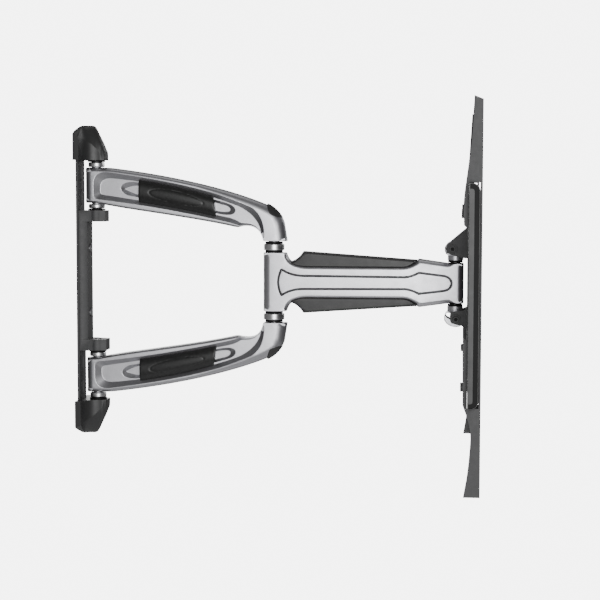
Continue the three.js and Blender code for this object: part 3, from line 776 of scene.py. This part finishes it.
def banded_ring(node, ease):
    """A turned ring with rounded corners in the box of a CAD ring about a vertical pin."""
    low, high = low_high(node)
    centre = (low + high) / 2
    radius = (high.x - low.x) / 2
    inner = radius * 0.5
    height = high.z - low.z
    profile = [(inner, 0.0)]
    profile += [(radius - ease + ease * math.sin(a), ease - ease * math.cos(a)) for a in quarter()]
    profile += [
        (radius - ease + ease * math.cos(a), height - ease + ease * math.sin(a)) for a in quarter()
    ]
    profile += [(inner, height)]
    ring = turned("turned_" + node, (centre.x, centre.y, low.z), (0, 0, 1), profile)
    return stand_in(ring, node)


# ---------- front arm ----------

HUB_LEFT = ELBOW_X - 13
HUB_HALF_H = 36.2
ARM_EDGE_Z = 20.6
HEAD_END = HEAD_X + 10.2
HEAD_HALF_H = 24.8
HEAD_HALF_T = 9.2  # half thickness at the barrel of the head
TAPER_X = 400  # where the arm begins to get thinner
TAPER_END = 462
TAPER = 2.3
# painted shade on the rounded edges of the front arm
FRONT_SHADE = 0.25  # how dark its rounded edges are, from 0 to 1
# reach to either side of the groove's line and depth, from one lip to the other
GROOVE_SECTION = ((-1.5, 0.0), (-1.3, 0.15), (-0.3, 1.6), (0.3, 1.6), (1.3, 0.15), (1.5, 0.0))


def mirrored(steps):
    """Steps of the upper half of an outline, going back, from the steps of the lower half."""
    points = [p for step in steps for p in step]
    sizes = [len(step) for step in steps]
    flat = [(x, -z) for x, z in reversed(points)]
    result = []
    taken = 1
    for size in reversed(sizes[1:]):
        result.append(flat[taken : taken + size])
        taken += size
    return result


def front_outline():
    lower = [
        [(259.9, -HUB_HALF_H)],
        [(262, -27), (269, -23.6)],
        [(277, -ARM_EDGE_Z), (286, -ARM_EDGE_Z)],
        [(402, -ARM_EDGE_Z)],
        [(413, -21), (421, -29.8)],
        [(457, -HEAD_HALF_H)],
        [(HEAD_END, -HEAD_HALF_H)],
    ]
    upper = [[(HEAD_END, HEAD_HALF_H)], *mirrored(lower), [(HUB_LEFT, HUB_HALF_H)]]
    start = (HUB_LEFT, -HUB_HALF_H)
    return outline(start, *lower, *upper, [start])


def front_half_t(x, _):
    """Half thickness of the front arm: straight, then tapering to the barrel of the head."""
    if x <= TAPER_X:
        return FRONT_ARM_HALF_T
    return max(HEAD_HALF_T, FRONT_ARM_HALF_T - TAPER * (x - TAPER_X) / (TAPER_END - TAPER_X))


def front_shoulder(points):
    """How far the round of the edge reaches in."""
    widths = []
    for i, p in enumerate(points):
        out = -inward(points, i)
        if abs(p.y) > HUB_HALF_H - 1.0 and p.x < 260:  # end faces of the hub
            width = 0.7
        elif out.x < -0.7 and p.x < ELBOW_X:  # back of the hub
            width = 9.5
        elif p.x < 275:  # waist beside the hub
            width = 4.6
        elif out.x > 0.7:  # barrel of the head
            width = 8.0
        elif p.x > TAPER_END:  # end faces of the barrel
            width = 1.0
        elif p.x > 416:  # flare
            width = 6.0
        else:  # straight run under the cable covers
            width = 5.0
        widths.append(width)
    return blended(widths, EVEN_ROUNDS)


def groove_path():
    """The closed line of the groove in each face of the arm."""
    lower = [
        [(264, -8.7), (280, -8.0)],
        [(404, -7.2)],
        [(413, -7.6), (421.5, -12.8)],
        [(452, -9)],
        [(461.2, -7), (461.2, 0)],
    ]
    upper = [
        [(461.2, 7), (452, 9)],
        [(421.5, 12.8)],
        [(413, 7.6), (404, 7.2)],
        [(280, 8.0)],
        [(264, 8.7), (254.4, 16)],
    ]
    return outline((254.4, -16), *lower, *upper, [(246.4, 0), (254.4, -16)], rounds=1)


def front_arm(name):
    """The casting, with a groove in each of its faces."""
    skin = Skin()
    edge = front_outline()
    widths = front_shoulder(edge)
    groove = groove_path()
    seam = skin.ring(edge, 0.0)
    for sign in (-1.0, 1.0):
        round_off = shoulder(skin, edge, widths, front_half_t, sign, painted_shade=FRONT_SHADE)
        skin.bands([seam, *round_off])
        # the walls of the groove get full painted shade
        cuts = [
            skin.ring(
                inset(groove, reach),
                lambda x, z, fall=fall: sign * (front_half_t(x, z) - fall),
                1.0 if fall > 0.1 else 0.0,
            )
            for reach, fall in GROOVE_SECTION
        ]
        skin.fill(round_off[-1], [cuts[0]])
        skin.bands(cuts)
        skin.fill(cuts[-1])
    return skin.piece(name)


# ---------- cable covers ----------

COVER_HALF_T = 10.2
COVER_ROUND = (3.2, 1.4)  # of its outer edge and of its other edges


def cable_cover(name, flip):
    """A closed cover whose outer edge is well rounded."""
    edge = outline(
        (264.8, 23.4),
        [(270, 19.6), (282, 18.6)],
        [(403, 18.6)],
        [(413, 19.6), (420.0, 28.4)],
        [(280.4, 38.2)],
        [(274.5, 28), (264.8, 25.4)],
        [(264.8, 23.4)],
    )
    skin = Skin()
    seam = skin.ring(edge, 0.0)
    outer, other = COVER_ROUND
    widths = blended([outer if -inward(edge, i).y > 0.5 else other for i in range(len(edge))], 6)
    for sign in (-1.0, 1.0):
        round_off = shoulder(skin, edge, widths, lambda x, z: COVER_HALF_T, sign, steps=6)
        skin.bands([seam, *round_off])
        skin.fill(round_off[-1])
    return skin.piece(name, flip)


# ---------- end caps of the wall rail ----------

CAP_LOW = 148.5
CAP_NOSE_X = 35.5
CAP_SHOULDER_X = 7.7  # where the full width ends
CAP_HALF_W = 32.0
CAP_WAIST = (30.0, 12.0)  # x and half width where the sweep ends
CAP_NOSE_HALF_W = 10.0
CAP_EASE = 1.2  # how far the first and last sections draw in
CAP_ACROSS = 40
CAP_WALL_STEPS = 12
# heights of the top of the side walls and of the ridge, by x
CAP_WALL_TOP = (
    (0, 181),
    (6.8, 178.5),
    (8.5, 175),
    (20, 168),
    (30, 157),
    (32.5, CAP_LOW),
    (36, CAP_LOW),
)
CAP_RIDGE = ((0, 186), (2, 189.5), (5, 191.3), (20, 191.3), (23, 189), (CAP_NOSE_X, 157.5))


def along(pairs, x):
    """Reads a height at x from a line through pairs of x and height."""
    for (x0, z0), (x1, z1) in zip(pairs, pairs[1:]):
        if x <= x1:
            return z0 + (z1 - z0) * (x - x0) / (x1 - x0)
    return pairs[-1][1]


def cap_half_width(x):
    """Half width of the cap in plan: full at the wall, then a concave sweep to the nose."""
    waist_x, waist = CAP_WAIST
    if x <= CAP_SHOULDER_X:
        return CAP_HALF_W
    if x >= waist_x:
        return waist - (waist - CAP_NOSE_HALF_W) * (x - waist_x) / (CAP_NOSE_X - waist_x)
    sweep = [
        Vector((CAP_SHOULDER_X, CAP_HALF_W)),
        Vector((CAP_SHOULDER_X + 2, waist)),
        Vector((waist_x, waist)),
    ]
    near, far = 0.0, 1.0
    for _ in range(30):
        t = (near + far) / 2
        here = on_curve(sweep, t)
        near, far = (t, far) if here.x < x else (near, t)
    return here.y


def end_cap(name, flip):
    """Sections across the cap, each with two side walls and a crowned roof."""
    sweep = CAP_WAIST[0] - CAP_SHOULDER_X
    places = [0.0, 0.35, 0.7, 2, 4, 6, 7.0, 7.4, 7.65]
    places += [CAP_SHOULDER_X + sweep * (i / 26) ** 2.2 for i in range(1, 27)]
    places += [31, 31.7, 32.5, 33.3, 34, 34.6, 35.0, 35.3, CAP_NOSE_X]
    mesh = bmesh.new()
    sections = []
    for x in places:
        ease = CAP_EASE * max(0.0, 1.0 - min(x, CAP_NOSE_X - x) / 0.8) ** 2
        half = cap_half_width(x) - ease
        side = max(CAP_LOW + 1.0, sum(along(CAP_WALL_TOP, x + d) for d in (-1, 0, 1)) / 3)
        ridge = sum(along(CAP_RIDGE, max(0.0, x + d)) for d in (-1.5, 0, 1.5)) / 3
        bend = 2.2 + 14.0 * min(1.0, max(0.0, (x - 24.0) / 9.0)) ** 2  # flatter at the nose
        section = []
        for k in range(CAP_ACROSS + 1):
            v = math.sin((k / CAP_ACROSS - 0.5) * math.pi)
            top = side + (ridge - side) * (1.0 - abs(v) ** bend) - ease
            section.append(Vector((x, half * v, top)))
        fall = section[0].z - CAP_LOW
        wall = [section[0].z - fall * i / CAP_WALL_STEPS for i in range(1, CAP_WALL_STEPS + 1)]
        left = [Vector((x, section[0].y, z)) for z in wall]
        right = [Vector((x, section[-1].y, z)) for z in wall]
        loop = list(reversed(left)) + section + right
        sections.append([mesh.verts.new(p * MM) for p in loop])
    for a, b in zip(sections, sections[1:]):
        for i in range(len(a) - 1):
            mesh.faces.new((a[i], a[i + 1], b[i + 1], b[i]))
        mesh.faces.new((a[-1], a[0], b[0], b[-1]))
    mesh.faces.new(sections[0])
    mesh.faces.new(list(reversed(sections[-1])))
    return finished(mesh, name, flip, sharp=30.0)


# ---------- end caps of the television plate ----------

PLATE_LOW, PLATE_HIGH = low_high("left_plate_cap")
PLATE_ROUND = 9.0  # radius of its upper and lower front corners
LIP = 1.0  # rim in front of the channel
BACK_LIP = 1.2
CHANNEL_END = 6.2  # how far behind the front edge the channel ends
CHANNEL_DEPTH = 2.4


def plate_arc(reach, back):
    """Open path round the plate section at this inset, from the lower to the upper back corner."""
    front = PLATE_HIGH.x - reach
    high = PLATE_HIGH.z - reach
    bend = max(1.0, PLATE_ROUND - reach)
    path = [Vector((back, -high))]
    path += [
        Vector((front - bend + bend * math.sin(a), -high + bend - bend * math.cos(a)))
        for a in quarter(8)
    ]
    path += [Vector((front, -high + bend + (high - bend) * i / 12)) for i in range(1, 12)]
    return path + [Vector((p.x, -p.y)) for p in reversed(path)]


def plate_cap(name, sign):
    """End cap of the plate: a rim round its front edge and a channel inside the rim."""
    skin = Skin()
    outer_y = PLATE_LOW.y
    inner_y = PLATE_HIGH.y
    back = PLATE_LOW.x
    edge = plate_arc(0.0, back)
    rings = [skin.ring(edge, inner_y), skin.ring(edge, outer_y + 0.4)]
    rings.append(skin.ring(inset(edge, 0.15), outer_y + 0.1))
    rings.append(skin.ring(inset(edge, 0.4), outer_y))
    skin.bands(rings)
    path = channel_path(0.0)
    top = skin.ring(path, outer_y)
    low = skin.ring(channel_path(0.1), outer_y + CHANNEL_DEPTH)
    skin.band(top, low)
    skin.fill(low)
    skin.fill(rings[-1], [top])
    skin.fill(rings[0])
    return to_side(skin.piece(name), sign)


def channel_path(reach):
    """The closed outline of the channel, drawn in by reach."""
    out = plate_arc(LIP + reach, PLATE_LOW.x + BACK_LIP + reach)
    back = plate_arc(CHANNEL_END - reach, PLATE_LOW.x + BACK_LIP + reach)
    return out + list(reversed(back))


def channel_floor(name, sign):
    """Near-black strip at the bottom of the channel: painted shade for the inside of the channel."""
    skin = Skin()
    floor_y = PLATE_LOW.y + CHANNEL_DEPTH
    lower = skin.ring(channel_path(0.0), floor_y + 0.3)
    upper = skin.ring(channel_path(0.25), floor_y - 0.9)
    skin.band(lower, upper)
    skin.fill(upper)
    skin.fill(lower)
    return to_side(skin.piece(name), sign)


def to_side(piece, sign):
    """Pieces are made for the left side; this mirrors one for the right side."""
    if sign > 0:
        piece.data.transform(Matrix.Scale(-1.0, 4, Vector((0, 1, 0))))
        piece.data.flip_normals()
    return piece


def extra(piece, body, slot):
    """A visible detail that has no CAD piece of its own."""
    piece.data.materials.append(MATERIALS[slot])
    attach(piece, body)


SOCKET_R = 2.3


def bolt_socket_shade(name, node):
    """A near-black hexagonal disc in the head of a tilt bolt: painted shade for the inside of its
    socket.
    """
    low, high = low_high(node)
    centre = (low + high) / 2
    profile = [(0.0, -0.06), (SOCKET_R, -0.06), (SOCKET_R, 1.0), (0.0, 1.0)]
    piece = turned(name, (centre.x, low.y, centre.z), (0, 1, 0), profile, segments=6)
    extra(piece, "tilt_plate", "nylon")


# ---------- everything in its place ----------

for level, flip in LEVELS:
    stand_in(rear_arm(f"shaped_{level}_rear_arm", flip), f"{level}_rear_arm")
    for side, sign in SIDES:
        stand_in(arm_pad(f"shaped_{level}_{side}_arm_pad", sign, flip), f"{level}_{side}_arm_pad")
    stand_in(elbow_plug(f"shaped_{level}_elbow_plug", flip), f"{level}_elbow_plug")
    stand_in(cable_cover(f"shaped_{level}_cable_cover", flip), f"{level}_cable_cover")
    stand_in(end_cap(f"shaped_{level}_end_cap", flip), f"{level}_end_cap")
    for node, ease in (
        ("bush_outer", 1.6),
        ("bush_inner", 1.6),
        ("elbow_ring", 1.2),
        ("wall_washer_outer", 0.4),
        ("wall_washer_inner", 0.4),
        ("elbow_washer_outer", 0.5),
        ("elbow_washer_inner", 0.5),
        ("head_washer", 0.5),
    ):
        banded_ring(f"{level}_{node}", ease)
stand_in(front_arm("shaped_front_arm"), "front_arm")
for side, sign in SIDES:
    stand_in(plate_cap(f"shaped_{side}_plate_cap", sign), f"{side}_plate_cap")
    # painted shade at the bottom of each channel
    extra(channel_floor(f"{side}_plate_channel_shade", sign), "tilt_plate", "nylon")
for level, _ in LEVELS:
    # painted shade in the socket of each tilt bolt
    bolt_socket_shade(f"{level}_tilt_socket_shade", f"{level}_tilt_bolt")

for node, width in (
    ("wall_rail", 0.5),
    ("hinge_bracket", 0.6),
    ("tilt_frame", 0.4),
    ("centre_plate", 0.4),
    ("left_upper_lock_screw", 0.4),
    ("left_lower_lock_screw", 0.4),
    ("right_upper_lock_screw", 0.4),
    ("right_lower_lock_screw", 0.4),
    ("left_tv_bracket", 0.3),
    ("right_tv_bracket", 0.3),
    ("upper_knuckle", 0.7),
    ("lower_knuckle", 0.7),
    ("upper_tilt_bolt", 0.3),
    ("lower_tilt_bolt", 0.3),
    ("upper_tilt_nut", 0.4),
    ("lower_tilt_nut", 0.4),
):
    eased(node, width)

# ---------- camera, light and floor ----------

CAMERA_PLACE = Vector((0.4746, -1.852, 0.1183))
CAMERA_YAW = math.radians(6.12)
CAMERA_PITCH = math.radians(4.32)
CAMERA_ROLL = math.radians(0.097)
LENS_MM = 91.26
SENSOR_MM = 36.0
SEEN_STRENGTH = 6.0  # the room as the camera sees it
ROOM_STRENGTH = 0.17  # the room as it lights the object
FLOOR_R = 0.65
FLOOR_PLACE = (0.25, -0.1, -0.55)
FLOOR_FADE = 0.6  # share of its radius where the floor begins to fade
FLOOR_GLOW = 0.35

# name, place, target, width and height in metres, and watts
SOFTBOXES = (
    ("front_softbox", (0.68, -2.3, 0.12), (0.34, 0.0, 0.0), 1.1, 1.4, 38.0),
    ("top_softbox", (0.25, 0.4, 2.0), (0.25, 0.0, 0.0), 1.2, 1.2, 4.0),
    ("rear_softbox", (-0.6, 2.4, 0.4), (0.3, 0.0, 0.0), 1.6, 1.2, 24.0),
    ("screen_softbox", (2.2, 1.8, 0.7), (0.5, 0.0, 0.0), 1.4, 1.2, 14.0),
)


def camera_matrix(place, yaw, pitch, roll):
    """Camera at place, turned yaw left of +Y, pitch below level and roll about its own axis."""
    ahead = Vector((-math.sin(yaw), math.cos(yaw), -math.tan(pitch))) * math.cos(pitch)
    level = Vector((math.cos(yaw), math.sin(yaw), 0.0))
    rise = level.cross(ahead)
    right = math.cos(roll) * level + math.sin(roll) * rise
    up = -math.sin(roll) * level + math.cos(roll) * rise
    turn = Matrix((right, up, -ahead)).transposed().to_4x4()
    return Matrix.Translation(place) @ turn


def add_camera():
    data = bpy.data.cameras.new("camera")
    data.lens = LENS_MM
    data.sensor_width = SENSOR_MM
    camera = bpy.data.objects.new("camera", data)
    camera.matrix_world = camera_matrix(CAMERA_PLACE, CAMERA_YAW, CAMERA_PITCH, CAMERA_ROLL)
    bpy.context.scene.collection.objects.link(camera)
    bpy.context.scene.camera = camera


def add_softbox(name, place, target, width, height, watts):
    data = bpy.data.lights.new(name, "AREA")
    data.shape = "RECTANGLE"
    data.size = width
    data.size_y = height
    data.energy = watts
    light = bpy.data.objects.new(name, data)
    light.location = place
    light.rotation_euler = (Vector(target) - Vector(place)).to_track_quat("-Z", "Y").to_euler()
    bpy.context.scene.collection.objects.link(light)


def add_world():
    """A white room to look at, and a dim grey one to light the object."""
    world = bpy.data.worlds.new("studio")
    bpy.context.scene.world = world
    world.use_nodes = True
    nodes = world.node_tree.nodes
    links = world.node_tree.links
    nodes.clear()
    ray = nodes.new("ShaderNodeLightPath")
    pick = nodes.new("ShaderNodeMixShader")
    output = nodes.new("ShaderNodeOutputWorld")
    links.new(ray.outputs["Is Camera Ray"], pick.inputs[0])
    for socket, strength in ((1, ROOM_STRENGTH), (2, SEEN_STRENGTH)):
        background = nodes.new("ShaderNodeBackground")
        background.inputs["Color"].default_value = (1.0, 1.0, 1.0, 1.0)
        background.inputs["Strength"].default_value = strength
        links.new(background.outputs[0], pick.inputs[socket])
    links.new(pick.outputs[0], output.inputs[0])


def floor_paint():
    """Pale matt floor with a slight mottle, fading out towards its rim."""
    recipe = Recipe("pale_floor")
    mottle = recipe.ramp(recipe.noise(60.0), (0.3, tone(0.76)), (0.7, tone(0.8)))
    recipe.feed("Base Color", mottle)
    recipe.set(Roughness=0.8, Emission_Strength=FLOOR_GLOW)
    recipe.feed("Emission Color", mottle)
    distance = recipe.tree.nodes.new("ShaderNodeVectorMath")
    distance.operation = "LENGTH"
    recipe.tree.links.new(recipe.place, distance.inputs[0])
    fade = recipe.node("ShaderNodeMapRange")
    fade.inputs["From Min"].default_value = FLOOR_R * FLOOR_FADE
    fade.inputs["From Max"].default_value = FLOOR_R
    fade.inputs["To Min"].default_value = 1.0
    fade.inputs["To Max"].default_value = 0.0
    recipe.tree.links.new(distance.outputs["Value"], fade.inputs["Value"])
    recipe.feed("Alpha", fade.outputs["Result"])
    return recipe.material


def add_floor():
    """A round floor below the mount, just out of the picture."""
    mesh = bmesh.new()
    bmesh.ops.create_circle(mesh, cap_ends=True, segments=96, radius=FLOOR_R)
    data = bpy.data.meshes.new("floor")
    mesh.to_mesh(data)
    mesh.free()
    data.materials.append(floor_paint())
    floor = bpy.data.objects.new("floor", data)
    floor.location = FLOOR_PLACE
    bpy.context.scene.collection.objects.link(floor)


add_camera()
add_world()
add_floor()
for softbox in SOFTBOXES:
    add_softbox(*softbox)
